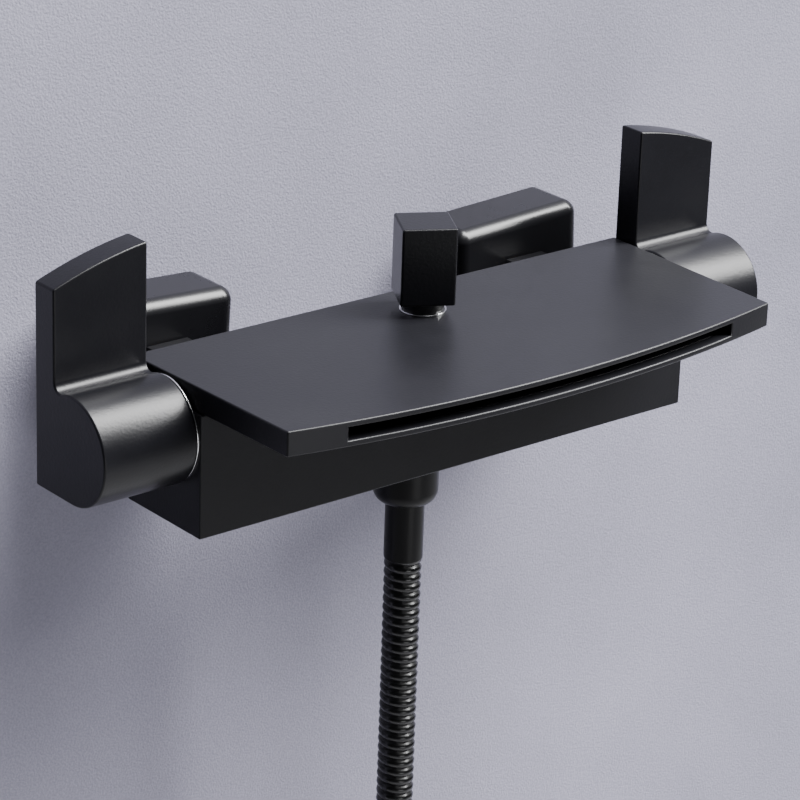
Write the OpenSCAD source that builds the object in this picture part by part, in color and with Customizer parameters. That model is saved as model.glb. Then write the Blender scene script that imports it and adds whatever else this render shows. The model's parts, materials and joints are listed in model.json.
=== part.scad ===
// Wall mounted bath mixer: two levers, flat waterfall spout, pull-up diverter and shower hose.
// Origin midway between the two wall inlets, on the wall. +X right, +Y into the wall, +Z up.

/* [Body] */
// Length of the mixer body
body_l = 220; // [210:1:240]
// Depth of the body, front to back
body_d = 42.5; // [40:0.5:46]
// Height of the body below the spout plate
body_h = 45; // [45:0.5:52]
// Gap between the wall and the back of the body
body_gap = 41; // [41:0.5:50]
// Height of the body's top above the inlet centres
body_top = 13.5; // [13:0.5:16]

/* [Waterfall spout] */
// Thickness of the spout plate
plate_t = 9; // [9:0.5:12]
// Reach of the plate from its back edge to its front corners
plate_d = 85; // [80:1:95]
// Half width of the plate at its front corners
plate_front = 108; // [100:0.5:110]
// How far the middle of the front edge stands ahead of its corners
plate_bow = 11.5; // [6:0.5:16]
// Width of the water slot
slot_w = 172; // [150:1:180]
// Height of the water slot
slot_h = 4.6; // [4.2:0.1:5]
// Thickness of the spout's removable floor
floor_t = 2.2; // [1.8:0.1:2.4]

/* [Lever handles] */
// Radius of the round hub
hub_r = 19.3; // [17:0.1:20]
// Length of a handle along X
handle_l = 37.3; // [32:0.1:45]
// Thickness of the upright lever
lever_t = 11.2; // [8:0.1:13]
// Height of the lever's top above the hub centre, next to the body
lever_top = 63.2; // [50:0.1:75]
// Drop of the lever's top towards its outer end
lever_drop = 9.8; // [0:0.1:14]
// Radius of the hollow corner between lever and hub
lever_fillet = 3; // [2:0.5:7]

/* [Diverter] */
// Side of the square diverter knob
knob_w = 19.7; // [16:0.1:22]
// Height of the diverter knob
knob_h = 28.5; // [22:0.5:34]
// Turn of the knob about its stem at rest
knob_turn = -29; // [-45:1:0]
// Radius of the collar under the knob
collar_r = 7.6; // [7.2:0.1:8.4]
// Travel of the diverter
lift = 8; // [6:0.5:8]

/* [Wall unions] */
// Distance between the two wall inlets
inlet_pitch = 150; // [140:1:160]
// Sideways offset of each eccentric union
union_offset = 7; // [0:0.5:8]
// Side of the square union cover
cover_w = 60; // [52:0.5:64]
// Depth of the union cover
cover_d = 22.8; // [20:0.1:24]
// Tilt of each cover about its union
cover_tilt = 2.8; // [0:0.1:6]

/* [Shower hose] */
// Outer diameter of the hose
hose_d = 14; // [13.5:0.1:14.2]

/* [Hidden] */
$fn = 64;

black = [0.07, 0.07, 0.08];
fit = 0.05;      // radial clearance of a running or screwed fit
bite = 1;        // how far a cutting shape runs past the face it opens

// Body and spout levels
body_back = -body_gap;
body_front = body_back - body_d;
body_bottom = body_top - body_h;
end_x = body_l / 2;
plate_back = body_back - 2;
plate_corner = plate_back - plate_d;
plate_top = body_top + plate_t;
bow_r = (plate_front * plate_front + plate_bow * plate_bow) / (2 * plate_bow);
bow_y = plate_corner - plate_bow + bow_r;
slot_z = body_top + floor_t;
cavity_back = -76;
floor_back = -80;
floor_w = slot_w + 6;
lip = 5;         // depth of the fixed lip in front of the removable floor
post_x = [-74, -28, 28, 74];
post_y = -97;
screw_x = [-62, -30, 30, 62];
screw_y = -50;

// Levers and their cartridges, on one axis through the body's ends
hub_y = -64;
hub_z = 3;
handle_x = end_x + 1;
handle_end = handle_x + handle_l;
lever_back = hub_y + 21.5;
lever_front = lever_back - lever_t;
bore_r = 8.5;    // cartridge bore
seat_x = 68;     // inner end of the cartridge bore
stem_r = 4;
gallery_r = 6;

// Diverter, above the middle of the body
well_r = 9;
seat_low = -8;   // seat of the hose outlet
seat_high = 9.5; // seat of the spout outlet
stem_d_r = 3;
collar_top = plate_top + 4.2;
knob_z = collar_top + 0.3;
spring_top = plate_top - 2.2;
spring_low = seat_high - lift - 0.2;

// Unions
union_x = inlet_pitch / 2 + union_offset;
thread_r = 10.48; // outside of a G1/2 thread
swivel_r = 13.2;  // outside of a G3/4 thread
pipe_r = 6;

// Hose: straight down from the outlet, one wide bend into a coil of two turns and a part, and a short
// tail. With these sizes it is 1.5 m long.
hose_y = -58;
nut_top = body_bottom - 3.5;
hose_z = -75.3;
coil_r = 84;
lead_r = 70;
bend_z = -220;
tail_angle = -40;  // where the tail leaves the coil, from its right-hand side
tail_lean = 28;    // lean of the fitting on the tail, from straight down
end_ferrule_l = 36;
coil_z = bend_z - sqrt(pow(lead_r + coil_r, 2) - pow(lead_r, 2));
coil_pitch = hose_d + 0.3;
coil_turn = acos(lead_r / (lead_r + coil_r)) + 720 - tail_angle;
end_y = hose_y + coil_pitch * coil_turn / 360;
coil_front = hose_y - hose_d / 2 - 0.2;
coil_back = end_y + hose_d / 2 + 0.2;
route = [
    [0, -58, -75.3], [0, -58, -95], [0, -58, -115], [0, -58, -135], [0, -58, -155], [0, -58, -175],
    [0, -58, -192], [0, -58, -208], [0, -58, -220], [1, -58, -231], [3.5, -58, -241.5], [7.5, -58, -251.5],
    [13.5, -58, -261], [20.5, -58, -269.5], [29, -58, -276.5], [38, -58, -282.3]
];
tail = [
    [64.3, -25.3, -411.2], [58.5, -25.3, -418.2], [53, -25.3, -425.5], [42.3, -25.3, -440.5],
    [32.4, -25.3, -456], [23.89, -25.3, -472]
];

// ---- Shared shapes ----

module rod_x(x0, x1, r) {
    translate([x0, 0, 0]) rotate([0, 90, 0]) cylinder(h = x1 - x0, r = r);
}

module rod_y(y0, y1, r) {
    translate([0, y1, 0]) rotate([90, 0, 0]) cylinder(h = y1 - y0, r = r);
}

module rod_z(z0, z1, r) {
    translate([0, 0, z0]) cylinder(h = z1 - z0, r = r);
}

module ring_x(x0, x1, r_out, r_in) {
    difference() {
        rod_x(x0, x1, r_out);
        rod_x(x0 - bite, x1 + bite, r_in);
    }
}

module ring_y(y0, y1, r_out, r_in) {
    difference() {
        rod_y(y0, y1, r_out);
        rod_y(y0 - bite, y1 + bite, r_in);
    }
}

module ring_z(z0, z1, r_out, r_in) {
    difference() {
        rod_z(z0, z1, r_out);
        rod_z(z0 - bite, z1 + bite, r_in);
    }
}

module o_ring(r, cord_r) {
    rotate_extrude() translate([r, 0]) circle(r = cord_r, $fn = 24);
}

// Block between two corners
module block(a, b) {
    translate(a) cube(b - a);
}

// Draws a right-hand piece on its own side (1) or mirrored to the left (-1)
module on_side(side) {
    mirror([side < 0 ? 1 : 0, 0, 0]) children();
}

module at_hub() {
    translate([0, hub_y, hub_z]) children();
}

module at_well() {
    translate([0, hub_y, 0]) children();
}

module at_union(x) {
    translate([x, 0, 0]) children();
}

module at_hose() {
    translate([0, hose_y, 0]) children();
}

// Slab of the plate's outline, with the bowed front edge set back by inset
module plate_slab(z0, z1, inset = 0) {
    intersection() {
        translate([0, 0, z0]) linear_extrude(z1 - z0) polygon([
            [-end_x, plate_back], [end_x, plate_back],
            [plate_front, plate_corner], [plate_front, plate_corner - plate_bow - bite],
            [-plate_front, plate_corner - plate_bow - bite], [-plate_front, plate_corner]
        ]);
        translate([0, bow_y, z0 - bite]) cylinder(h = z1 - z0 + 2 * bite, r = bow_r - inset, $fn = 256);
    }
}

// ---- Body ----

module body() {
    color(black) difference() {
        block([-end_x, body_front, body_bottom], [end_x, body_back, body_top]);
        for (side = [-1, 1]) on_side(side) {
            at_hub() {
                rod_x(seat_x, end_x + bite, bore_r);
                rod_x(end_x - 10, end_x + bite, 9.4);
            }
            at_union(union_x) {
                rod_y(body_back - 12, body_back + bite, 9.5 + fit);
                rod_y(hub_y, body_back - 10, 6.5);
            }
        }
        at_hub() rod_x(-seat_x - bite, seat_x + bite, gallery_r);
        at_well() {
            rod_z(seat_low, body_top + bite, well_r);
            rod_z(body_bottom + 5, seat_low + bite, 5.5);
        }
        at_hose() rod_z(body_bottom - bite, body_bottom + 8, thread_r + fit);
        for (x = screw_x) translate([x, screw_y, 0]) {
            rod_z(body_bottom - bite, -8, 4);
            rod_z(-9, body_top + bite, 2.2);
        }
    }
}

// ---- Waterfall spout ----

module spout_shell() {
    color(black) difference() {
        union() {
            difference() {
                plate_slab(body_top, plate_top);
                block([-slot_w / 2, plate_corner - plate_bow - bite, slot_z],
                      [slot_w / 2, cavity_back, slot_z + slot_h]);
                intersection() {
                    plate_slab(body_top - bite, slot_z + 0.01, lip);
                    block([-floor_w / 2, -200, body_top - bite], [floor_w / 2, floor_back, slot_z + 0.01]);
                }
                at_well() rod_z(slot_z, slot_z + slot_h, 12.5);
            }
            for (x = post_x) translate([x, post_y, 0]) rod_z(slot_z, slot_z + slot_h + 0.2, 3.2);
        }
        block([-9, cavity_back - bite, slot_z], [9, hub_y, slot_z + slot_h]);
        at_well() rod_z(body_top - bite, plate_top + bite, collar_r + fit);
        for (x = post_x) translate([x, post_y, 0]) rod_z(slot_z - bite, slot_z + slot_h - 0.4, 1.25 + fit);
        for (x = screw_x) translate([x, screw_y, 0]) rod_z(body_top - bite, plate_top - 3, 2 + fit);
    }
}

module spout_floor() {
    color(black) difference() {
        intersection() {
            plate_slab(body_top, slot_z - 0.1, lip + 0.15);
            block([-floor_w / 2 + 0.15, -200, body_top], [floor_w / 2 - 0.15, floor_back - 0.15, slot_z]);
        }
        for (x = post_x) translate([x, post_y, body_top]) {
            rod_z(-bite, 1.4, 2.5);
            rod_z(-bite, floor_t + bite, 1.4);
        }
    }
}

// Flat silicone strips that close the floor against the shell
module spout_gasket() {
    color("dimgray") intersection() {
        plate_slab(slot_z - 0.1, slot_z, lip + 0.3);
        for (side = [-1, 1])
            block([side > 0 ? slot_w / 2 + 0.2 : -floor_w / 2 + 0.3, -128, slot_z - 0.1],
                  [side > 0 ? floor_w / 2 - 0.3 : -slot_w / 2 - 0.2, floor_back - 0.3, slot_z]);
    }
}

// Comb of upright vanes that spreads the sheet of water
module flow_guide() {
    color("gray") {
        block([-80, -119, slot_z + 0.1], [80, -115, slot_z + 0.8]);
        for (x = [-78 : 12 : 78]) block([x - 0.6, -124, slot_z + 0.1], [x + 0.6, -110, slot_z + slot_h - 0.2]);
    }
}

module spout_screws() {
    color("silver") for (x = screw_x) translate([x, screw_y, 0]) {
        rod_z(-8, plate_top - 3.4, 2);
        difference() {
            rod_z(-12, -8, 3.6);
            rod_z(-12 - bite, -9.8, 1.7, $fn = 6);
        }
    }
}

module floor_screws() {
    color("silver") for (x = post_x) translate([x, post_y, body_top]) {
        rod_z(0.2, 1.4, 2.3);
        rod_z(1.4, floor_t + 3.8, 1.25);
    }
}

// ---- Lever handles and cartridges, drawn on the right ----

// Side view of a handle, Y across and Z up
module handle_outline() {
    fillet_y = lever_front - lever_fillet;
    fillet_z = hub_z + sqrt(pow(hub_r + lever_fillet, 2) - pow(fillet_y - hub_y, 2));
    meet = atan2(fillet_z - hub_z, fillet_y - hub_y);
    steps = 12;
    translate([hub_y, hub_z]) circle(r = hub_r, $fn = 128);
    polygon(concat(
        [[hub_y, hub_z - hub_r], [lever_back, hub_z - hub_r], [lever_back, hub_z + lever_top + bite],
         [lever_front, hub_z + lever_top + bite]],
        [for (i = [0 : steps]) let (a = (meet - 180) * i / steps)
            [fillet_y + lever_fillet * cos(a), fillet_z + lever_fillet * sin(a)]],
        [[hub_y, hub_z]]));
}

// Front view of a handle's envelope, X across and Z up, with its gently curved sloping top
module handle_face() {
    crown = 1.2;
    low = hub_z - hub_r - bite;
    polygon(concat(
        [[handle_end, low], [handle_x, low]],
        [for (i = [0 : 8]) let (t = i / 8)
            [handle_x + t * handle_l, hub_z + lever_top - lever_drop * t + 4 * crown * t * (1 - t)]]));
}

module handle(side) {
    color(black) on_side(side) difference() {
        intersection() {
            rotate([90, 0, 90]) translate([0, 0, handle_x]) linear_extrude(handle_l) handle_outline();
            translate([0, lever_back + bite, 0]) rotate([90, 0, 0])
                linear_extrude(body_d + 2 * bite) handle_face();
        }
        at_hub() {
            rod_x(handle_x - bite, handle_x + 9, 13.5);
            rod_x(handle_x, handle_x + 20, stem_r + fit);
            translate([handle_x + 15, 0, 0]) rod_z(-hub_r - bite, 0, 2 + fit);
        }
    }
}

module handle_screw(side) {
    color("silver") on_side(side) at_hub() translate([handle_x + 15, 0, 0]) difference() {
        rod_z(-hub_r + 4, -stem_r, 2);
        rod_z(-hub_r + 3, -hub_r + 6, 1.1, $fn = 6);
    }
}

module trim_ring(side) {
    color("lightgray") on_side(side) at_hub() ring_x(end_x, end_x + 0.7, hub_r - 0.5, 10);
}

module cartridge_nut(side) {
    color("goldenrod") on_side(side) at_hub() ring_x(end_x - 9.8, end_x - 1.5, 9.4 - fit, 5.3);
}

module cartridge_housing(side) {
    color("goldenrod") on_side(side) at_hub() difference() {
        rod_x(seat_x + 2, end_x - 10, bore_r - fit);
        rod_x(seat_x + 2 - bite, seat_x + 20, 7);
        rod_x(seat_x, end_x, stem_r + fit);
        for (a = [0 : 90 : 270]) rotate([a + 45, 0, 0]) block([seat_x + 11.5, -2.5, 0], [seat_x + 18, 2.5, 12]);
        ring_x(end_x - 20, end_x - 18.2, stem_r + 1.3, stem_r);
    }
}

module cartridge_stem(side) {
    color("goldenrod") on_side(side) at_hub() {
        rod_x(seat_x + 8.2, seat_x + 11, 6.5);
        rod_x(seat_x + 10, handle_x + 19.5, stem_r);
        for (y = [-4.5, 3]) block([seat_x + 6.2, y, -1.5], [seat_x + 9, y + 1.5, 1.5]);
    }
}

module stem_seal(side) {
    color("dimgray") on_side(side) at_hub() translate([end_x - 19.1, 0, 0])
        rotate([0, 90, 0]) o_ring(stem_r + 0.7, 0.58);
}

module turning_disc(side) {
    color("ivory") on_side(side) at_hub() difference() {
        rod_x(seat_x + 5.1, seat_x + 8, 6.8);
        for (y = [-4.6, 2.9]) block([seat_x + 6.1, y, -1.6], [seat_x + 9, y + 1.7, 1.6]);
        for (s = [-1, 1]) translate([0, 0, s * 4]) rod_x(seat_x, seat_x + 9, 2);
    }
}

module fixed_disc(side) {
    color("ivory") on_side(side) at_hub() difference() {
        rod_x(seat_x + 2, seat_x + 5, 6.95);
        for (s = [-1, 1]) translate([0, 0, s * 4]) rod_x(seat_x, seat_x + 9, 2);
    }
}

module seat_seal(side) {
    color("dimgray") on_side(side) at_hub() ring_x(seat_x, seat_x + 2, bore_r - fit, 5.5);
}

// ---- Diverter ----

module diverter_knob() {
    color(black) at_well() rotate([0, 0, knob_turn]) difference() {
        block([-knob_w / 2, -knob_w / 2, knob_z], [knob_w / 2, knob_w / 2, knob_z + knob_h]);
        rod_z(knob_z - bite, knob_z + 18, stem_d_r + fit);
        translate([0, 0, knob_z + 8]) rod_y(0, knob_w, 1.5 + fit);
    }
}

module diverter_knob_screw() {
    color("silver") at_well() rotate([0, 0, knob_turn]) translate([0, 0, knob_z + 8]) difference() {
        rod_y(stem_d_r, knob_w / 2 - 1.5, 1.5);
        rod_y(knob_w / 2 - 3.5, knob_w, 0.8, $fn = 6);
    }
}

module diverter_stem() {
    color("silver") at_well() {
        rod_z(seat_low - 2, knob_z + 17, stem_d_r);
        rod_z(seat_low - 2, seat_low - 0.3, 4.4);
    }
}

module diverter_bonnet() {
    color(black) at_well() difference() {
        union() {
            rod_z(seat_high, body_top, well_r - fit);
            rod_z(body_top, collar_top, collar_r);
        }
        rod_z(seat_high - bite, seat_high + 2, 5.5);
        rod_z(seat_high + 1, spring_top, 6.3);
        for (a = [45 : 90 : 315]) rotate([0, 0, a]) block([0, -2.2, slot_z + 0.2], [12, 2.2, slot_z + slot_h - 0.3]);
        rod_z(spring_top - bite, collar_top + bite, stem_d_r + fit);
        ring_z(plate_top + 0.8, plate_top + 2.4, stem_d_r + 1.4, stem_d_r);
    }
}

module diverter_trim_ring() {
    color("lightgray") at_well() ring_z(plate_top, plate_top + 0.7, collar_r + 0.8, collar_r + fit);
}

module diverter_stem_seal() {
    color("dimgray") at_well() translate([0, 0, plate_top + 1.6]) o_ring(stem_d_r + 0.72, 0.62);
}

module diverter_spool() {
    color("goldenrod") at_well() ring_z(seat_low + 2.4, spring_low - 1.4, 5.6, stem_d_r + fit);
}

module diverter_seals() {
    color("dimgray") at_well() {
        ring_z(seat_low, seat_low + 2.4, 7.2, stem_d_r + fit);
        ring_z(spring_low - 1.4, spring_low, 7.2, stem_d_r + fit);
    }
}

module diverter_spring() {
    turns = 7;
    steps = 14;
    wire_r = 0.45;
    coil = 4.4;
    rise = spring_top - spring_low - 2 * wire_r - 0.2;
    count = turns * steps;
    sides = 6;
    points = [for (i = [0 : count]) let (a = i * 360 / steps)
        for (j = [0 : sides - 1]) let (b = j * 360 / sides, r = coil + wire_r * cos(b))
            [r * cos(a), r * sin(a), spring_low + 0.1 + wire_r + rise * i / count + wire_r * sin(b)]];
    faces = concat(
        [[for (j = [0 : sides - 1]) j]],
        [for (i = [0 : count - 1]) for (j = [0 : sides - 1]) let (k = (j + 1) % sides)
            [i * sides + j, (i + 1) * sides + j, (i + 1) * sides + k, i * sides + k]],
        [[for (j = [sides - 1 : -1 : 0]) count * sides + j]]);
    color("silver") at_well() polyhedron(points, faces, convexity = 10);
}

// ---- Wall unions, drawn on the right ----

module inlet_nozzle(side) {
    color("goldenrod") on_side(side) at_union(union_x) difference() {
        union() {
            rod_y(body_back - 11.5, body_back, 9.5);
            rod_y(body_back, body_back + 5, 9);
            rod_y(body_back + 5, body_back + 8, 12.6);
        }
        rod_y(body_back - 20, body_back + 10, 6.5);
    }
}

module union_nut(side) {
    color(black) on_side(side) at_union(union_x) difference() {
        rod_y(body_back + 1.5, body_back + 17, 17.3, $fn = 6);
        rod_y(body_back + 5, body_back + 18, swivel_r + fit);
        rod_y(body_back, body_back + 6, 9 + 0.2);
    }
}

module union_washer(side) {
    color("dimgray") on_side(side) at_union(union_x) ring_y(body_back + 8, body_back + 10, 12.8, 7);
}

module eccentric_union(side) {
    color("goldenrod") on_side(side) difference() {
        union() {
            at_union(inlet_pitch / 2) {
                rod_y(0, 18, thread_r);
                rod_y(-12, 0, 12.5);
            }
            at_union(union_x) rod_y(body_back + 10, -8, swivel_r);
        }
        at_union(inlet_pitch / 2) rod_y(-12, 20, pipe_r);
        at_union(union_x) rod_y(body_back, -6, pipe_r);
    }
}

module union_cover(side) {
    edge_r = 5.5;
    half = cover_w / 2 - edge_r;
    color(black) on_side(side) at_union(union_x) rotate([0, -cover_tilt, 0]) difference() {
        hull() for (x = [-half, half]) for (z = [-half, half]) translate([x, 0, z]) {
            translate([0, edge_r - cover_d, 0]) sphere(r = edge_r, $fn = 32);
            rod_y(-1, 0, edge_r, $fn = 32);
        }
        block([-cover_w / 2 + 2.5, 2.5 - cover_d, -cover_w / 2 + 2.5],
              [cover_w / 2 - 2.5, bite, cover_w / 2 - 2.5]);
        rod_y(-cover_d - bite, 0, swivel_r + 0.3);
    }
}

// ---- Shower hose ----

module outlet_nipple() {
    color("goldenrod") at_hose() difference() {
        union() {
            rod_z(nut_top - 9, body_bottom + 7.5, thread_r);
            rod_z(nut_top + 0.3, body_bottom, 11.6);
        }
        rod_z(nut_top - 12, body_bottom + 10, pipe_r);
    }
}

// Union nut of the hose, drawn with its open end up at the origin and the hose leaving downwards
module hose_nut_shape(thread) {
    difference() {
        rotate_extrude() polygon(concat(
            [[0, 0], [11.7, 0], [12, -0.4], [12, -12.5]],
            [for (a = [15 : 15 : 75]) [8 + 4 * cos(a), -12.5 - 5 * sin(a)]],
            [[8, -17.5], [0, -17.5]]));
        rod_z(-11.5, bite, thread);
        rod_z(-14, -9.2, 10.4);
        rod_z(-18.5, -13, 7.2 + 0.3);
    }
}

// Ferrule pressed on the hose's end, from the flange under the washer to the hose
module hose_ferrule_shape(length) {
    difference() {
        union() {
            rod_z(-13.8, -11.6, 10.1);
            rod_z(-length, -13, 7.2);
        }
        rod_z(-length - bite, 0, 4.8);
    }
}

module hose_nut() {
    color(black) at_hose() translate([0, 0, nut_top]) hose_nut_shape(thread_r + fit);
}

module hose_washer() {
    color("dimgray") at_hose() translate([0, 0, nut_top]) ring_z(-11.6, -9, 10.1, 5.6);
}

module hose_ferrule() {
    color(black) at_hose() translate([0, 0, nut_top]) hose_ferrule_shape(nut_top - hose_z);
}

// Tube swept along a route's own points, which lie in a plane across Y
module hose_tube(points) {
    sides = 12;
    last = len(points) - 1;
    ring = [for (i = [0 : last]) let (
            step = points[min(i + 1, last)] - points[max(i - 1, 0)],
            t = step / norm(step), across = [-t[2], 0, t[0]])
        for (j = [0 : sides - 1]) let (a = j * 360 / sides)
            points[i] + (hose_d / 2 - 0.1) * (cos(a) * across + sin(a) * [0, -1, 0])];
    faces = concat(
        [[for (j = [0 : sides - 1]) j]],
        [for (i = [0 : last - 1]) for (j = [0 : sides - 1]) let (k = (j + 1) % sides)
            [i * sides + j, (i + 1) * sides + j, (i + 1) * sides + k, i * sides + k]],
        [[for (j = [sides - 1 : -1 : 0]) last * sides + j]]);
    color([0.05, 0.05, 0.06]) polyhedron(ring, faces, convexity = 4);
}

module hose_coil() {
    round_r = hose_d / 2;
    color([0.05, 0.05, 0.06]) translate([0, coil_back, coil_z]) rotate([90, 0, 0])
        rotate_extrude($fn = 128) translate([coil_r, 0]) {
            translate([0, round_r]) circle(r = round_r, $fn = 32);
            translate([0, coil_back - coil_front - round_r]) circle(r = round_r, $fn = 32);
            translate([-round_r, round_r]) square([hose_d, coil_back - coil_front - hose_d]);
        }
}

// Band round all the turns at the right-hand side of the coil
module hose_tie() {
    inner = coil_r - hose_d / 2;
    color("dimgray") translate([0, 0, coil_z]) difference() {
        block([inner - 2.2, coil_front - 1.8, -6], [inner + hose_d + 1.8, coil_back + 1.8, 6]);
        block([inner - 0.7, coil_front - 0.3, -7], [inner + hose_d + 0.3, coil_back + 0.3, 7]);
    }
}

// Puts a fitting on the end of the tail, the hose arriving from above
module at_tail() {
    translate(tail[len(tail) - 1]) rotate([0, tail_lean + 180, 0]) translate([0, 0, end_ferrule_l]) children();
}

module hose_end_ferrule() {
    color(black) at_tail() hose_ferrule_shape(end_ferrule_l);
}

module hose_end_nut() {
    color(black) at_tail() hose_nut_shape(9.4);
}

module hose_end_washer() {
    color("dimgray") at_tail() ring_z(-11.5, -9.5, 9.2, 5.6);
}

body();
spout_shell();
spout_floor();
spout_gasket();
flow_guide();
spout_screws();
floor_screws();
handle(-1);  // left_handle
handle_screw(-1);  // left_handle_screw
trim_ring(-1);  // left_trim_ring
cartridge_nut(-1);  // left_cartridge_nut
cartridge_housing(-1);  // left_cartridge_housing
cartridge_stem(-1);  // left_cartridge_stem
stem_seal(-1);  // left_stem_seal
turning_disc(-1);  // left_turning_disc
fixed_disc(-1);  // left_fixed_disc
seat_seal(-1);  // left_seat_seal
handle(1);  // right_handle
handle_screw(1);  // right_handle_screw
trim_ring(1);  // right_trim_ring
cartridge_nut(1);  // right_cartridge_nut
cartridge_housing(1);  // right_cartridge_housing
cartridge_stem(1);  // right_cartridge_stem
stem_seal(1);  // right_stem_seal
turning_disc(1);  // right_turning_disc
fixed_disc(1);  // right_fixed_disc
seat_seal(1);  // right_seat_seal
diverter_knob();
diverter_knob_screw();
diverter_stem();
diverter_bonnet();
diverter_trim_ring();
diverter_stem_seal();
diverter_spool();
diverter_seals();
diverter_spring();
inlet_nozzle(-1);  // left_inlet_nozzle
union_nut(-1);  // left_union_nut
union_washer(-1);  // left_union_washer
eccentric_union(-1);  // left_eccentric_union
union_cover(-1);  // left_union_cover
inlet_nozzle(1);  // right_inlet_nozzle
union_nut(1);  // right_union_nut
union_washer(1);  // right_union_washer
eccentric_union(1);  // right_eccentric_union
union_cover(1);  // right_union_cover
outlet_nipple();
hose_nut();
hose_washer();
hose_ferrule();
hose_tube(route);  // hose
hose_coil();
hose_tube(tail);  // hose_tail
hose_tie();
hose_end_ferrule();
hose_end_nut();
hose_end_washer();
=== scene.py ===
import json
from math import acos, cos, degrees, radians, sin, sqrt, tau

import bmesh
import bpy
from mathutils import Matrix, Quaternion, Vector


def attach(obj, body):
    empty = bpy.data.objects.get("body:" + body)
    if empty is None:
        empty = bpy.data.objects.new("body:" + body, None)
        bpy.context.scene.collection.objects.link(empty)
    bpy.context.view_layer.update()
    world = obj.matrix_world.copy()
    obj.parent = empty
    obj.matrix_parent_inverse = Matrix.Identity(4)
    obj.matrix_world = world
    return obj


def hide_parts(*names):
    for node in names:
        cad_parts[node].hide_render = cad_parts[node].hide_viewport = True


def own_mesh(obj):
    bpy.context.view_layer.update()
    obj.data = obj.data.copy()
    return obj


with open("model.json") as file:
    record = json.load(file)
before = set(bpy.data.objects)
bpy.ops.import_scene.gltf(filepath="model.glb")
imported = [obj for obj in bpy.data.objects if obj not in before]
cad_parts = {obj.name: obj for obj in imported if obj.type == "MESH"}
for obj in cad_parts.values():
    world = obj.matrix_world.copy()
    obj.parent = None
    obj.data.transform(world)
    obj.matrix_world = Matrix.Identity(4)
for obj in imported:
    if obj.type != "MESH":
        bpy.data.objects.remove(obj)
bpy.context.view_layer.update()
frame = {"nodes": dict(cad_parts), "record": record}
MM = 0.001


# ---- Camera ----
# Above the left-hand lever, looking down along the spout towards the wall, with a long lens.

aim = Vector((0.015, -0.035, -0.025))
azimuth, elevation, roll = radians(-39.53), radians(21.78), radians(1.99)
back = Vector((sin(azimuth) * cos(elevation), -cos(azimuth) * cos(elevation), sin(elevation)))
camera = bpy.data.objects.new("camera", bpy.data.cameras.new("camera"))
camera.data.sensor_width = 36
camera.data.lens = 152.8
camera.rotation_mode = "QUATERNION"
camera.location = aim + back * 1.2455
camera.rotation_quaternion = (-back).to_track_quat("-Z", "Y") @ Quaternion((0, 0, 1), roll)
bpy.context.scene.collection.objects.link(camera)
bpy.context.scene.camera = camera


# ---- Shower hose ----
# A double-lock steel hose with a black coat, 1.5 m long. It hangs from the outlet's nut, bends once and
# is stored as a hanging coil of two turns and a part, held by a strap. Its far end carries the hand
# shower's nut, on a ferrule that is crimped to the hose.

hose_r = 0.0070
groove_r = 0.0058
rib_pitch = 0.0036
hose_y = -0.058
coil_r, lead_r, bend_z = 0.084, 0.070, -0.220
coil_z = bend_z - sqrt((lead_r + coil_r) ** 2 - lead_r ** 2)
coil_pitch = 0.0143
lead_angle = degrees(acos(lead_r / (lead_r + coil_r)))
tail_angle = -40
route = [
    (0, -58, -75.3), (0, -58, -95), (0, -58, -115), (0, -58, -135), (0, -58, -155), (0, -58, -175),
    (0, -58, -192), (0, -58, -208), (0, -58, -220), (1, -58, -231), (3.5, -58, -241.5), (7.5, -58, -251.5),
    (13.5, -58, -261), (20.5, -58, -269.5), (29, -58, -276.5),
]
tail = [
    (58.5, -25.3, -418.2), (53, -25.3, -425.5), (42.3, -25.3, -440.5),
    (32.4, -25.3, -456), (23.89, -25.3, -472),
]


def coil_points(count=72):
    """The centreline's points round the coil, clockwise as seen from the room, stepping towards the wall."""
    turned = lead_angle + 720 - tail_angle
    points = []
    for i in range(count + 1):
        gone = turned * i / count
        angle = radians(lead_angle - gone)
        y = hose_y + coil_pitch * gone / 360
        points.append(Vector((coil_r * cos(angle), y, coil_z + coil_r * sin(angle))))
    return points


def smooth_line(points, step):
    """Points at even steps on a Catmull-Rom curve through the given ones."""
    dense = []
    ends = [points[0] * 2 - points[1], *points, points[-1] * 2 - points[-2]]
    for i in range(1, len(ends) - 2):
        a, b, c, d = ends[i - 1:i + 3]
        for k in range(12):
            t = k / 12
            dense.append(0.5 * (2 * b + (c - a) * t + (2 * a - 5 * b + 4 * c - d) * t * t
                                + (3 * b - a - 3 * c + d) * t ** 3))
    dense.append(points[-1])
    gone = [0]
    for a, b in zip(dense, dense[1:]):
        gone.append(gone[-1] + (b - a).length)
    count = round(gone[-1] / step)
    even, k = [], 0
    for i in range(count + 1):
        want = gone[-1] * i / count
        while k < len(gone) - 2 and gone[k + 1] < want:
            k += 1
        even.append(dense[k].lerp(dense[k + 1], (want - gone[k]) / (gone[k + 1] - gone[k])))
    return even


def place(name, bm):
    """Makes an object of a finished bmesh and puts it in the scene, smooth but for its hard corners."""
    bmesh.ops.recalc_face_normals(bm, faces=bm.faces)
    mesh = bpy.data.meshes.new(name)
    bm.to_mesh(mesh)
    bm.free()
    mesh.polygons.foreach_set("use_smooth", [True] * len(mesh.polygons))
    mesh.set_sharp_from_angle(angle=radians(40))
    piece = bpy.data.objects.new(name, mesh)
    bpy.context.scene.collection.objects.link(piece)
    return piece


body_of = {node: body for body, nodes in frame["record"]["behaviour"]["bodies"].items() for node in nodes}


def stand_in(piece, finish, *nodes):
    """Gives a piece its finish and puts it in the place of the CAD nodes that it is the finished form of."""
    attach(piece, body_of[nodes[0]])
    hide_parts(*nodes)
    piece.data.materials.append(finish)
    return piece


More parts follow.
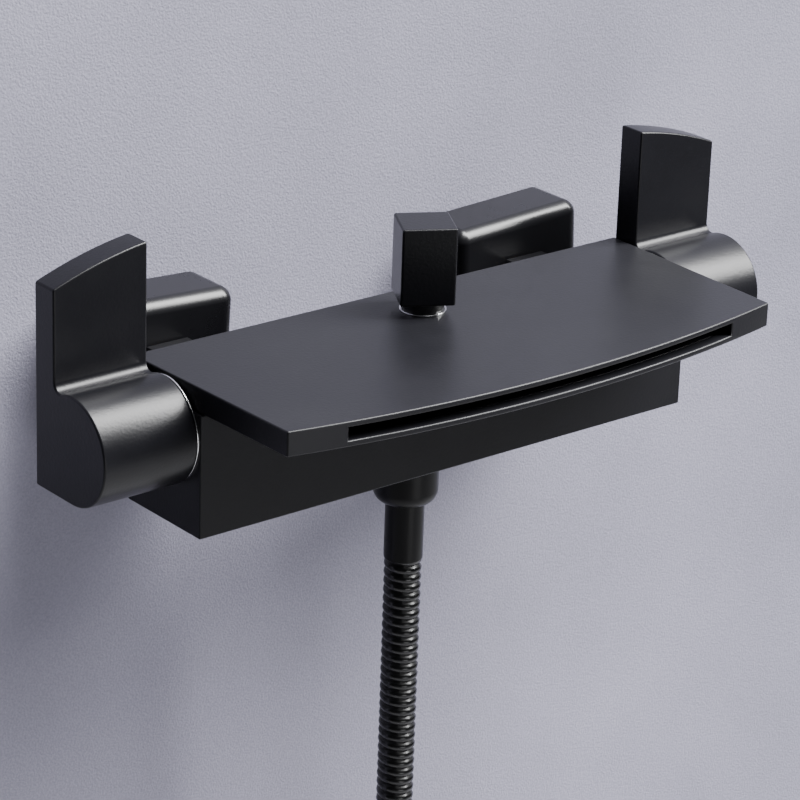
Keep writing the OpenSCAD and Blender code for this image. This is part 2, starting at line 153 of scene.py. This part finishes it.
def eased(name, node, edge, finish, sharp=35, clamp=True):
    """The finished form of a CAD node, its hard outer edges broken by a small radius."""
    bm = bmesh.new()
    bm.from_mesh(frame["nodes"][node].data)
    bmesh.ops.remove_doubles(bm, verts=bm.verts, dist=2e-6)
    bmesh.ops.dissolve_limit(bm, angle_limit=radians(0.6), verts=bm.verts, edges=bm.edges)
    hard = [e for e in bm.edges if e.is_convex and e.calc_face_angle(0) > radians(sharp)]
    bmesh.ops.bevel(bm, geom=hard, offset=edge, affect="EDGES", segments=3, profile=0.5, material=-1,
                    clamp_overlap=clamp)
    piece = place(name, bm)
    even = piece.modifiers.new("even_shading", "WEIGHTED_NORMAL")
    even.keep_sharp = True
    return stand_in(piece, finish, node)


def shader_group(name, inputs, outputs):
    """An empty shader node group with its sockets, and its input and output nodes."""
    group = bpy.data.node_groups.new(name, "ShaderNodeTree")
    for label, kind, value in inputs:
        group.interface.new_socket(label, in_out="INPUT", socket_type=kind).default_value = value
    for label, kind in outputs:
        group.interface.new_socket(label, in_out="OUTPUT", socket_type=kind)
    return group, group.nodes.new("NodeGroupInput"), group.nodes.new("NodeGroupOutput")


def noise_at(group, vector, scale, detail, roughness=0.5):
    """A noise texture in a group, fed by a vector and a scale socket."""
    noise = group.nodes.new("ShaderNodeTexNoise")
    noise.inputs["Detail"].default_value = detail
    noise.inputs["Roughness"].default_value = roughness
    group.links.new(vector, noise.inputs["Vector"])
    group.links.new(scale, noise.inputs["Scale"])
    return noise.outputs["Fac"]


def spread(group, value, low, high):
    """Stretches a noise's middle values over 0 to 1."""
    stretch = group.nodes.new("ShaderNodeMapRange")
    stretch.inputs["From Min"].default_value = low
    stretch.inputs["From Max"].default_value = high
    group.links.new(value, stretch.inputs["Value"])
    return stretch.outputs["Result"]


FLOAT, COLOUR, VECTOR = "NodeSocketFloat", "NodeSocketColor", "NodeSocketVector"
sprayed_coat, coat_in, coat_out = shader_group(
    "sprayed_coat",
    [("Grain Scale", FLOAT, 900), ("Mottle Scale", FLOAT, 24), ("Deep", COLOUR, (0, 0, 0, 1)),
     ("Bloom", COLOUR, (1, 1, 1, 1)), ("Smooth", FLOAT, 0.3), ("Rough", FLOAT, 0.4)],
    [("Color", COLOUR), ("Roughness", FLOAT), ("Grain", FLOAT)])
coat_place = sprayed_coat.nodes.new("ShaderNodeTexCoord").outputs["Object"]
coat_grain = noise_at(sprayed_coat, coat_place, coat_in.outputs["Grain Scale"], 2)
coat_mottle = spread(sprayed_coat, noise_at(sprayed_coat, coat_place, coat_in.outputs["Mottle Scale"], 5, 0.6),
                     0.3, 0.7)
coat_tint = sprayed_coat.nodes.new("ShaderNodeMix")
coat_tint.data_type = "RGBA"
sprayed_coat.links.new(coat_mottle, coat_tint.inputs["Factor"])
sprayed_coat.links.new(coat_in.outputs["Deep"], coat_tint.inputs[6])
sprayed_coat.links.new(coat_in.outputs["Bloom"], coat_tint.inputs[7])
coat_wear = sprayed_coat.nodes.new("ShaderNodeMath")
coat_wear.operation = "MULTIPLY_ADD"
coat_wear.inputs[1].default_value = 0.35
sprayed_coat.links.new(coat_grain, coat_wear.inputs[0])
sprayed_coat.links.new(coat_mottle, coat_wear.inputs[2])
coat_gloss = sprayed_coat.nodes.new("ShaderNodeMapRange")
coat_gloss.inputs["From Max"].default_value = 1.35
sprayed_coat.links.new(coat_wear.outputs[0], coat_gloss.inputs["Value"])
sprayed_coat.links.new(coat_in.outputs["Smooth"], coat_gloss.inputs["To Min"])
sprayed_coat.links.new(coat_in.outputs["Rough"], coat_gloss.inputs["To Max"])
sprayed_coat.links.new(coat_tint.outputs[2], coat_out.inputs["Color"])
sprayed_coat.links.new(coat_gloss.outputs["Result"], coat_out.inputs["Roughness"])
sprayed_coat.links.new(coat_grain, coat_out.inputs["Grain"])


def new_material(name):
    """A material with its nodes, links and shader."""
    material = bpy.data.materials.new(name)
    material.use_nodes = True
    tree = material.node_tree
    return material, tree.nodes, tree.links, tree.nodes["Principled BSDF"]


def bumped(nodes, links, shader, height, depth):
    """Feeds a height to the shader's normal, with a relief of that depth in metres."""
    bump = nodes.new("ShaderNodeBump")
    bump.inputs["Distance"].default_value = depth
    links.new(height, bump.inputs["Height"])
    links.new(bump.outputs["Normal"], shader.inputs["Normal"])


def coated(name, deep, bloom, smooth, rough, grain_scale=900, depth=0.00004, specular=0.5):
    """A fine-grained coat or moulded surface, mottled between two colours and two roughnesses."""
    material, nodes, links, shader = new_material(name)
    coat = nodes.new("ShaderNodeGroup")
    coat.node_tree = sprayed_coat
    for label, value in (("Grain Scale", grain_scale), ("Deep", (*deep, 1)), ("Bloom", (*bloom, 1)),
                         ("Smooth", smooth), ("Rough", rough)):
        coat.inputs[label].default_value = value
    shader.inputs["Specular IOR Level"].default_value = specular
    links.new(coat.outputs["Color"], shader.inputs["Base Color"])
    links.new(coat.outputs["Roughness"], shader.inputs["Roughness"])
    bumped(nodes, links, shader, coat.outputs["Grain"], depth)
    return material


tool_mark_depth = 0.00002
turned_lines, lines_in, lines_out = shader_group(
    "turned_lines",
    [("Axis", VECTOR, (0, 0, 1)), ("Centre", VECTOR, (0, 0, 0)), ("Lines", FLOAT, 4000),
     ("Bright", FLOAT, 0.2), ("Dull", FLOAT, 0.4)],
    [("Ridge", FLOAT), ("Roughness", FLOAT)])
lines_from = turned_lines.nodes.new("ShaderNodeVectorMath")
lines_from.operation = "SUBTRACT"
lines_along = turned_lines.nodes.new("ShaderNodeVectorMath")
lines_along.operation = "DOT_PRODUCT"
lines_across = turned_lines.nodes.new("ShaderNodeVectorMath")
lines_across.operation = "CROSS_PRODUCT"
lines_radius = turned_lines.nodes.new("ShaderNodeVectorMath")
lines_radius.operation = "LENGTH"
lines_sum = turned_lines.nodes.new("ShaderNodeMath")
lines_noise = turned_lines.nodes.new("ShaderNodeTexNoise")
lines_noise.noise_dimensions = "1D"
lines_noise.inputs["Detail"].default_value = 3
lines_gloss = turned_lines.nodes.new("ShaderNodeMapRange")
turned_lines.links.new(turned_lines.nodes.new("ShaderNodeTexCoord").outputs["Object"], lines_from.inputs[0])
turned_lines.links.new(lines_in.outputs["Centre"], lines_from.inputs[1])
turned_lines.links.new(lines_from.outputs["Vector"], lines_along.inputs[0])
turned_lines.links.new(lines_in.outputs["Axis"], lines_along.inputs[1])
turned_lines.links.new(lines_from.outputs["Vector"], lines_across.inputs[0])
turned_lines.links.new(lines_in.outputs["Axis"], lines_across.inputs[1])
turned_lines.links.new(lines_across.outputs["Vector"], lines_radius.inputs[0])
turned_lines.links.new(lines_along.outputs["Value"], lines_sum.inputs[0])
turned_lines.links.new(lines_radius.outputs["Value"], lines_sum.inputs[1])
turned_lines.links.new(lines_sum.outputs["Value"], lines_noise.inputs["W"])
turned_lines.links.new(lines_in.outputs["Lines"], lines_noise.inputs["Scale"])
turned_lines.links.new(lines_noise.outputs["Fac"], lines_gloss.inputs["Value"])
turned_lines.links.new(lines_in.outputs["Bright"], lines_gloss.inputs["To Min"])
turned_lines.links.new(lines_in.outputs["Dull"], lines_gloss.inputs["To Max"])
turned_lines.links.new(lines_noise.outputs["Fac"], lines_out.inputs["Ridge"])
turned_lines.links.new(lines_gloss.outputs["Result"], lines_out.inputs["Roughness"])


def turned(name, colour, axis, centre, bright=0.2, dull=0.42):
    """Bare metal off the lathe, its fine lines running round an axis through a centre."""
    material, nodes, links, shader = new_material(name)
    ring = nodes.new("ShaderNodeGroup")
    ring.node_tree = turned_lines
    for label, value in (("Axis", axis), ("Centre", centre), ("Bright", bright), ("Dull", dull)):
        ring.inputs[label].default_value = value
    shader.inputs["Base Color"].default_value = (*colour, 1)
    shader.inputs["Metallic"].default_value = 1.0
    links.new(ring.outputs["Roughness"], shader.inputs["Roughness"])
    bumped(nodes, links, shader, ring.outputs["Ridge"], tool_mark_depth)
    return material


def ribbed_hose(name, line, steps_per_rib, sides):
    """Tube along a line of even steps, with one helical rib every rib_pitch."""
    bm = bmesh.new()
    height = bm.verts.layers.float.new("rib")
    profile = [0.0, 0.62, 0.93, 1.0, 0.93, 0.62]
    rings = []
    across = Vector((0, 1, 0))
    for i, point in enumerate(line):
        along = (line[min(i + 1, len(line) - 1)] - line[max(i - 1, 0)]).normalized()
        side = (across - along * across.dot(along)).normalized()
        up = along.cross(side)
        ring = []
        for j in range(sides):
            phase = (i / steps_per_rib + j / sides) % 1 * len(profile)
            k = int(phase)
            rise = profile[k % len(profile)] * (1 - phase + k) + profile[(k + 1) % len(profile)] * (phase - k)
            r = groove_r + (hose_r - groove_r) * rise
            angle = tau * j / sides
            vert = bm.verts.new(point + (side * cos(angle) + up * sin(angle)) * r)
            vert[height] = rise
            ring.append(vert)
        rings.append(ring)
    for a, b in zip(rings, rings[1:]):
        for j in range(sides):
            k = (j + 1) % sides
            bm.faces.new((a[j], a[k], b[k], b[j]))
    bm.faces.new(rings[0][::-1])
    bm.faces.new(rings[-1])
    return place(name, bm)


centreline = [Vector(p) * MM for p in route] + coil_points() + [Vector(p) * MM for p in tail]
steps_per_rib = 6
hose_line = smooth_line(centreline, rib_pitch / steps_per_rib)

hose_black, nodes, links, shader = new_material("black_coated_steel")
rib = nodes.new("ShaderNodeAttribute")
rib.attribute_name = "rib"
# Painted shade: the coat's colour is darker in the grooves between the ribs and lighter on their crests.
rib_painted_groove_shade = nodes.new("ShaderNodeMix")
rib_painted_groove_shade.data_type = "RGBA"
rib_painted_groove_shade.inputs[6].default_value = (0.002, 0.002, 0.002, 1)
rib_painted_groove_shade.inputs[7].default_value = (0.0040, 0.0040, 0.0044, 1)
rib_gloss = nodes.new("ShaderNodeMapRange")
rib_gloss.inputs["To Min"].default_value = 0.55
rib_gloss.inputs["To Max"].default_value = 0.17
rib_speck = nodes.new("ShaderNodeTexNoise")
rib_speck.inputs["Scale"].default_value = 1600
links.new(nodes.new("ShaderNodeTexCoord").outputs["Object"], rib_speck.inputs["Vector"])
links.new(rib.outputs["Fac"], rib_painted_groove_shade.inputs["Factor"])
links.new(rib.outputs["Fac"], rib_gloss.inputs["Value"])
links.new(rib_painted_groove_shade.outputs[2], shader.inputs["Base Color"])
links.new(rib_gloss.outputs["Result"], shader.inputs["Roughness"])
bumped(nodes, links, shader, rib_speck.outputs["Fac"], 0.00003)

shower_hose = stand_in(ribbed_hose("shower_hose", hose_line, steps_per_rib, 20), hose_black,
                       "hose", "hose_coil", "hose_tail")

strap_weave, nodes, links, shader = new_material("woven_strap")
strap_place = nodes.new("ShaderNodeTexCoord").outputs["Object"]
strap_threads = []
for direction in ("Y", "Z"):
    threads = nodes.new("ShaderNodeTexWave")
    threads.bands_direction = direction
    threads.inputs["Scale"].default_value = 420
    threads.inputs["Distortion"].default_value = 0.4
    links.new(strap_place, threads.inputs["Vector"])
    strap_threads.append(threads.outputs["Fac"])
strap_cross = nodes.new("ShaderNodeMath")
strap_cross.operation = "MAXIMUM"
links.new(strap_threads[0], strap_cross.inputs[0])
links.new(strap_threads[1], strap_cross.inputs[1])
strap_tint = nodes.new("ShaderNodeMix")
strap_tint.data_type = "RGBA"
strap_tint.inputs[6].default_value = (0.010, 0.010, 0.011, 1)
strap_tint.inputs[7].default_value = (0.035, 0.035, 0.037, 1)
links.new(strap_cross.outputs["Value"], strap_tint.inputs["Factor"])
links.new(strap_tint.outputs[2], shader.inputs["Base Color"])
shader.inputs["Roughness"].default_value = 0.85
bumped(nodes, links, shader, strap_cross.outputs["Value"], 0.00025)
hose_strap = eased("hose_strap", "hose_tie", 0.0014, strap_weave)

fitting_black = coated("black_hose_fittings", (0.0014, 0.0014, 0.0017), (0.0026, 0.0026, 0.0030), 0.24, 0.32,
                       grain_scale=1300, depth=0.00001, specular=0.22)
rubber = coated("nitrile_rubber", (0.008, 0.008, 0.008), (0.020, 0.020, 0.020), 0.60, 0.75,
                grain_scale=2200, depth=0.00006)
far_ferrule = eased("hose_far_ferrule", "hose_end_ferrule", 0.0003, fitting_black)
far_nut = eased("hose_far_nut", "hose_end_nut", 0.0003, fitting_black)
far_washer = eased("hose_far_washer", "hose_end_washer", 0.0003, rubber)


# ---- Mixer body ----
# One cast brass block with a satin black coat. The cartridges screw into its ends, the diverter into its
# top, the inlet nozzles into its back and the hose outlet into its underside.

body_black = coated("satin_black_body", (0.0062, 0.0062, 0.0080), (0.0088, 0.0088, 0.0108), 0.34, 0.42,
                    specular=0.22)
eased("mixer_block", "body", 0.0006, body_black, clamp=False)


# ---- Waterfall spout ----
# A flat brass plate with a bowed front edge and a wide slot under its lip. A thin floor screwed in from
# below closes the water way, over silicone strips, and a moulded comb spreads the sheet of water.

spout_black = coated("satin_black_spout", (0.0062, 0.0062, 0.0080), (0.0090, 0.0090, 0.0112), 0.34, 0.42,
                     specular=0.24)
eased("spout_plate", "spout_shell", 0.0007, spout_black, clamp=False)
eased("spout_floor_plate", "spout_floor", 0.0003, spout_black)
acetal = coated("moulded_acetal", (0.10, 0.10, 0.105), (0.14, 0.14, 0.145), 0.40, 0.52,
                grain_scale=700, depth=0.00005)
eased("vane_comb", "flow_guide", 0.0002, acetal)
steel = turned("turned_stainless", (0.58, 0.57, 0.56), (0, 0, 1), (0, -0.05, 0), bright=0.22, dull=0.40)
eased("plate_screws", "spout_screws", 0.0002, steel)
eased("floor_plate_screws", "floor_screws", 0.00015, steel)
eased("floor_strips", "spout_gasket", 0.00003, rubber)


# ---- Levers and cartridges ----
# Each lever is one piece with its round hub, cast, ground and coated, and clamped on the cartridge stem
# by a grub screw from below. A bright ring shows in the joint. Behind it sits a half-turn ceramic
# cartridge: brass housing, stem and nut, two ceramic discs and rubber seals.

lever_black = coated("satin_black_levers", (0.0032, 0.0032, 0.0046), (0.0052, 0.0052, 0.0070), 0.30, 0.36,
                     specular=0.27)
bright_steel, brass = (0.78, 0.78, 0.79), (0.72, 0.50, 0.22)
hub_axis, hub_centre = (1, 0, 0), (0, -0.064, 0.003)
ring_steel = turned("bright_ring_steel", bright_steel, hub_axis, hub_centre, bright=0.12, dull=0.26)
hub_brass = turned("turned_brass_cartridge", brass, hub_axis, hub_centre)
ceramic = coated("lapped_ceramic", (0.78, 0.77, 0.73), (0.86, 0.85, 0.81), 0.10, 0.18,
                 grain_scale=1800, depth=0.000004)
for hand in ("left", "right"):
    eased(hand + "_lever", hand + "_handle", 0.0008, lever_black, clamp=False)
    eased(hand + "_lever_grub_screw", hand + "_handle_screw", 0.0002, steel)
    eased(hand + "_joint_ring", hand + "_trim_ring", 0.0001, ring_steel)
    eased(hand + "_gland_nut", hand + "_cartridge_nut", 0.0003, hub_brass)
    eased(hand + "_housing", hand + "_cartridge_housing", 0.0002, hub_brass)
    eased(hand + "_stem", hand + "_cartridge_stem", 0.0003, hub_brass)
    eased(hand + "_stem_o_ring", hand + "_stem_seal", 0.00005, rubber)
    eased(hand + "_moving_disc", hand + "_turning_disc", 0.0001, ceramic)
    eased(hand + "_still_disc", hand + "_fixed_disc", 0.0001, ceramic)
    eased(hand + "_seat_ring", hand + "_seat_seal", 0.0002, rubber)


# ---- Diverter ----
# A square knob on a steel stem, pulled up to send the water to the hose. Its collar is the bonnet that
# screws into the body through the plate, with a bright ring at its foot. Below hang the spool, its two
# seals and the spring that drops it again.

knob_black = coated("satin_black_knob", (0.0045, 0.0045, 0.0060), (0.0065, 0.0065, 0.0082), 0.27, 0.34,
                    specular=0.20)
well_axis, well_foot = (0, 0, 1), (0, -0.064, 0)
collar_black = coated("black_collar", (0.010, 0.010, 0.011), (0.018, 0.018, 0.019), 0.30, 0.38)
stem_steel = turned("turned_steel_stem", (0.60, 0.59, 0.58), well_axis, well_foot, bright=0.16, dull=0.30)
well_brass = turned("turned_brass_spool", brass, well_axis, well_foot)
foot_steel = turned("bright_foot_ring", bright_steel, well_axis, well_foot, bright=0.12, dull=0.26)
eased("diverter_knob_block", "diverter_knob", 0.0008, knob_black, clamp=False)
eased("diverter_grub_screw", "diverter_knob_screw", 0.0001, steel)
eased("diverter_rod", "diverter_stem", 0.0002, stem_steel)
eased("diverter_collar", "diverter_bonnet", 0.0003, collar_black)
eased("diverter_foot_ring", "diverter_trim_ring", 0.00015, foot_steel)
eased("diverter_o_ring", "diverter_stem_seal", 0.00005, rubber)
eased("diverter_spool_tube", "diverter_spool", 0.0002, well_brass)
eased("diverter_valve_rings", "diverter_seals", 0.0003, rubber)
return_spring = eased("diverter_return_spring", "diverter_spring", 0.00002, stem_steel, sharp=80)
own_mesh(return_spring)


# ---- Wall unions ----
# A nozzle in the body's back, a hexagon nut and a rubber washer join each side to an eccentric union
# that is screwed into the wall. A square pressed cover with round edges, slightly turned, hides it.

union_x = 0.082
cover_black = coated("gloss_black_covers", (0.0035, 0.0035, 0.0045), (0.0060, 0.0060, 0.0072), 0.25, 0.31,
                     grain_scale=1100, depth=0.000008, specular=0.34)
for hand, side in (("left", -1), ("right", 1)):
    union_brass = turned(f"turned_brass_{hand}_union", brass, (0, 1, 0), (side * union_x, 0, 0))
    eased(hand + "_nozzle", hand + "_inlet_nozzle", 0.0002, union_brass)
    eased(hand + "_hexagon_nut", hand + "_union_nut", 0.0006, cover_black)
    eased(hand + "_nut_washer", hand + "_union_washer", 0.0002, rubber)
    eased(hand + "_eccentric", hand + "_eccentric_union", 0.0003, union_brass)
    eased(hand + "_cover", hand + "_union_cover", 0.0003, cover_black)


# ---- Hose outlet ----
# A brass nipple screwed into the underside, the hose's own black nut and washer, and the ferrule that is
# crimped to the hose and shows as a smooth sleeve below the nut.

outlet_brass = turned("turned_brass_outlet", brass, (0, 0, 1), (0, hose_y, 0))
eased("outlet_nipple_tube", "outlet_nipple", 0.0003, outlet_brass)
eased("hose_near_nut", "hose_nut", 0.0003, fitting_black)
eased("hose_near_washer", "hose_washer", 0.0003, rubber)
eased("hose_near_ferrule", "hose_ferrule", 0.0003, fitting_black)


# ---- Wall, floor and light ----
# A pale plastered wall that the mixer hangs on, its colour carrying painted light that makes it lighter
# towards the lower left and darker towards the right, and a plain pale floor, both seen only from the room,
# and soft studio light from the right and above.

def sheet_of(name, corners):
    """One flat sheet of the room."""
    bm = bmesh.new()
    bm.faces.new([bm.verts.new(c) for c in corners])
    mesh = bpy.data.meshes.new(name)
    bm.to_mesh(mesh)
    bm.free()
    sheet = bpy.data.objects.new(name, mesh)
    bpy.context.scene.collection.objects.link(sheet)
    return sheet


def seen_from_the_room(nodes, links, shader):
    """Lets a sheet show from its front only, so that views from behind it or under it stay open."""
    behind = nodes.new("ShaderNodeBsdfTransparent")
    facing = nodes.new("ShaderNodeNewGeometry")
    one_sided = nodes.new("ShaderNodeMixShader")
    links.new(facing.outputs["Backfacing"], one_sided.inputs["Fac"])
    links.new(shader.outputs["BSDF"], one_sided.inputs[1])
    links.new(behind.outputs["BSDF"], one_sided.inputs[2])
    links.new(one_sided.outputs["Shader"], nodes["Material Output"].inputs["Surface"])


room_side, wall_y, wall_top, floor_z = 3, 0.0002, 2.5, -0.8
wall = sheet_of("wall", [(-room_side, wall_y, floor_z), (room_side, wall_y, floor_z),
                         (room_side, wall_y, wall_top), (-room_side, wall_y, wall_top)])
floor = sheet_of("floor", [(-room_side, -4, floor_z), (room_side, -4, floor_z),
                           (room_side, 3, floor_z), (-room_side, 3, floor_z)])

plaster, nodes, links, shader = new_material("pale_plaster")
plaster_place = nodes.new("ShaderNodeTexCoord").outputs["Object"]
plaster_cloud = nodes.new("ShaderNodeTexNoise")
plaster_cloud.inputs["Scale"].default_value = 9
plaster_cloud.inputs["Detail"].default_value = 6
plaster_speck = nodes.new("ShaderNodeTexNoise")
plaster_speck.inputs["Scale"].default_value = 1150
plaster_speck.inputs["Detail"].default_value = 3
plaster_mix = nodes.new("ShaderNodeMath")
plaster_mix.operation = "MULTIPLY_ADD"
plaster_mix.inputs[1].default_value = 1.1
plaster_range = nodes.new("ShaderNodeMapRange")
plaster_range.inputs["From Min"].default_value = 0.72
plaster_range.inputs["From Max"].default_value = 1.38
# Painted light: the wall's colour is made lighter towards the lower left, where the mixer's shadow falls, and
# darker towards the right, where the key lamp is strongest.
plaster_painted_light_axis = nodes.new("ShaderNodeVectorMath")
plaster_painted_light_axis.operation = "DOT_PRODUCT"
plaster_painted_light_axis.inputs[1].default_value = (0.80, 0, 1)
plaster_painted_light = nodes.new("ShaderNodeMapRange")
plaster_painted_light.inputs["From Min"].default_value = 0.40
plaster_painted_light.inputs["From Max"].default_value = -0.40
plaster_painted_light.inputs["To Min"].default_value = -0.55
plaster_painted_light.inputs["To Max"].default_value = 1.9
plaster_mottle_and_painted_light = nodes.new("ShaderNodeMath")
plaster_tint = nodes.new("ShaderNodeMix")
plaster_tint.data_type = "RGBA"
plaster_tint.clamp_factor = False
plaster_tint.inputs[6].default_value = (0.150, 0.149, 0.194, 1)
plaster_tint.inputs[7].default_value = (0.234, 0.229, 0.294, 1)
shader.inputs["Roughness"].default_value = 0.85
links.new(plaster_place, plaster_cloud.inputs["Vector"])
links.new(plaster_place, plaster_speck.inputs["Vector"])
links.new(plaster_speck.outputs["Fac"], plaster_mix.inputs[0])
links.new(plaster_cloud.outputs["Fac"], plaster_mix.inputs[2])
links.new(plaster_mix.outputs["Value"], plaster_range.inputs["Value"])
links.new(plaster_place, plaster_painted_light_axis.inputs[0])
links.new(plaster_painted_light_axis.outputs["Value"], plaster_painted_light.inputs["Value"])
links.new(plaster_range.outputs["Result"], plaster_mottle_and_painted_light.inputs[0])
links.new(plaster_painted_light.outputs["Result"], plaster_mottle_and_painted_light.inputs[1])
links.new(plaster_mottle_and_painted_light.outputs["Value"], plaster_tint.inputs["Factor"])
links.new(plaster_tint.outputs[2], shader.inputs["Base Color"])
bumped(nodes, links, shader, plaster_speck.outputs["Fac"], 0.00022)
seen_from_the_room(nodes, links, shader)
wall.data.materials.append(plaster)

pale_floor, nodes, links, shader = new_material("pale_floor")
shader.inputs["Base Color"].default_value = (0.36, 0.36, 0.37, 1)
shader.inputs["Roughness"].default_value = 0.85
seen_from_the_room(nodes, links, shader)
floor.data.materials.append(pale_floor)

world = bpy.data.worlds.new("studio")
bpy.context.scene.world = world
world.use_nodes = True
world.node_tree.nodes["Background"].inputs["Color"].default_value = (0.80, 0.82, 0.88, 1)
world.node_tree.nodes["Background"].inputs["Strength"].default_value = 0.07


def softbox(name, place_at, look_at, size, power):
    """A soft rectangular lamp, turned towards a point."""
    lamp = bpy.data.objects.new(name, bpy.data.lights.new(name, "AREA"))
    lamp.data.shape = "RECTANGLE"
    lamp.data.size, lamp.data.size_y = size
    lamp.data.energy = power
    lamp.location = place_at
    lamp.rotation_mode = "QUATERNION"
    lamp.rotation_quaternion = (Vector(look_at) - Vector(place_at)).to_track_quat("-Z", "Y")
    bpy.context.scene.collection.objects.link(lamp)


softbox("key", (0.88, -0.58, 1.22), (0, -0.06, 0), (0.7, 1.6), 160)
softbox("top", (0.4, -1.10, 1.9), (0, -0.05, 0), (1.8, 1.0), 14)
softbox("low", (0, -2.2, -0.4), (0, -0.02, -0.1), (1.0, 0.8), 7)
